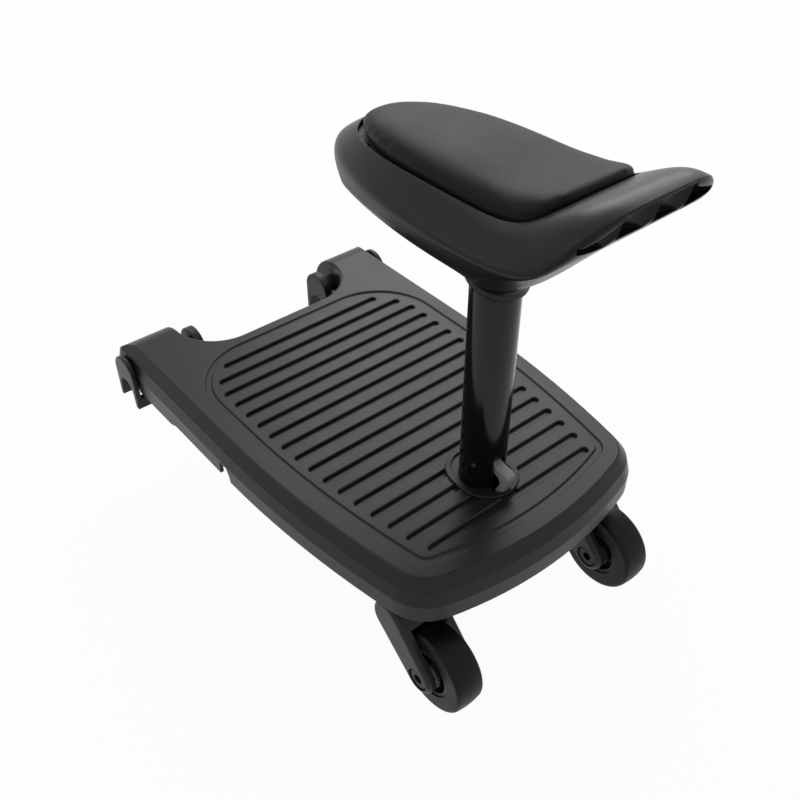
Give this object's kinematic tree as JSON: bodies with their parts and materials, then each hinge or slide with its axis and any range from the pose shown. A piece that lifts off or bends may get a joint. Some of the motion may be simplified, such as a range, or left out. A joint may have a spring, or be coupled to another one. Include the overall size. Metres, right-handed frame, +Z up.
{
  "type": "buggy board",
  "caption": "Ride-on buggy board: ribbed deck on swivel casters, rocking jaws that hang on a pram's axle, and a padded seat on a lift-out post.",
  "frame": {"origin": "floor level, below the middle of the board's length and width", "axes": "+X across to the right, +Y forward towards the pram, +Z up from the floor"},
  "size_m": [0.308, 0.484, 0.4363],
  "materials": {
    "deck_plastic": "satin",
    "trim_plastic": "satin",
    "steel": "satin",
    "post_paint": "gloss",
    "lever_plastic": "satin",
    "seat_plastic": "satin",
    "board_wood": "matte",
    "pad_cover": "satin",
    "jaw_plastic": "satin",
    "fork_plastic": "satin",
    "bush_plastic": "matte",
    "bolt_black": "satin",
    "hub_plastic": "matte",
    "tyre_rubber": "matte"
  },
  "bodies": {
    "board": {"deck_shell": "deck_plastic", "post_socket": "trim_plastic", "socket_screws": "steel", "left_jaw_pin": "steel", "right_jaw_pin": "steel", "left_swivel_bush": "bush_plastic", "right_swivel_bush": "bush_plastic", "post_tube": "post_paint", "post_foot_plug": "trim_plastic", "post_top_plug": "steel", "lever_pin": "steel", "lever_spring": "steel", "seat_collar": "trim_plastic", "seat_shell": "seat_plastic", "seat_bolt": "steel", "seat_bolt_washer": "steel", "pad_board": "board_wood", "pad_screws": "steel", "seat_pad": "pad_cover"},
    "left_jaw_body": {"left_jaw": "jaw_plastic"},
    "left_caster": {"left_caster_fork": "fork_plastic", "left_swivel_stem": "steel", "left_stem_clip": "steel", "left_axle_bolt": "bolt_black", "left_axle_nut": "bolt_black", "left_axle_spacers": "bush_plastic"},
    "left_wheel": {"left_wheel_hub": "hub_plastic", "left_tyre": "tyre_rubber", "left_wheel_bearings": "steel"},
    "right_jaw_body": {"right_jaw": "jaw_plastic"},
    "right_caster": {"right_caster_fork": "fork_plastic", "right_swivel_stem": "steel", "right_stem_clip": "steel", "right_axle_bolt": "bolt_black", "right_axle_nut": "bolt_black", "right_axle_spacers": "bush_plastic"},
    "right_wheel": {"right_wheel_hub": "hub_plastic", "right_tyre": "tyre_rubber", "right_wheel_bearings": "steel"},
    "lever": {"release_lever": "lever_plastic"}
  },
  "joints": [
    {"name": "left_jaw_rock", "type": "hinge", "parent": "board", "child": "left_jaw_body", "pos_m": [-0.11345, 0.21085, 0.1159], "axis": [1, 0, 0], "range_deg": [-15, 15]},
    {"name": "left_caster_swivel", "type": "hinge", "parent": "board", "child": "left_caster", "pos_m": [-0.0983, -0.14555, 0.103], "axis": [0, 0, 1], "continuous": true},
    {"name": "left_wheel_spin", "type": "hinge", "parent": "left_caster", "child": "left_wheel", "pos_m": [-0.0983, -0.18825, 0.0385], "axis": [1, 0, 0], "continuous": true},
    {"name": "right_jaw_rock", "type": "hinge", "parent": "board", "child": "right_jaw_body", "pos_m": [0.11345, 0.21085, 0.1159], "axis": [1, 0, 0], "range_deg": [-15, 15]},
    {"name": "right_caster_swivel", "type": "hinge", "parent": "board", "child": "right_caster", "pos_m": [0.0983, -0.14555, 0.103], "axis": [0, 0, 1], "continuous": true},
    {"name": "right_wheel_spin", "type": "hinge", "parent": "right_caster", "child": "right_wheel", "pos_m": [0.0983, -0.18825, 0.0385], "axis": [1, 0, 0], "continuous": true},
    {"name": "lever_press", "type": "hinge", "parent": "board", "child": "lever", "pos_m": [0, -0.13105, 0.166], "axis": [1, 0, 0], "range_deg": [0, 9], "stiffness_Nm_per_rad": 0.06, "springref_deg": -14.32}
  ]
}
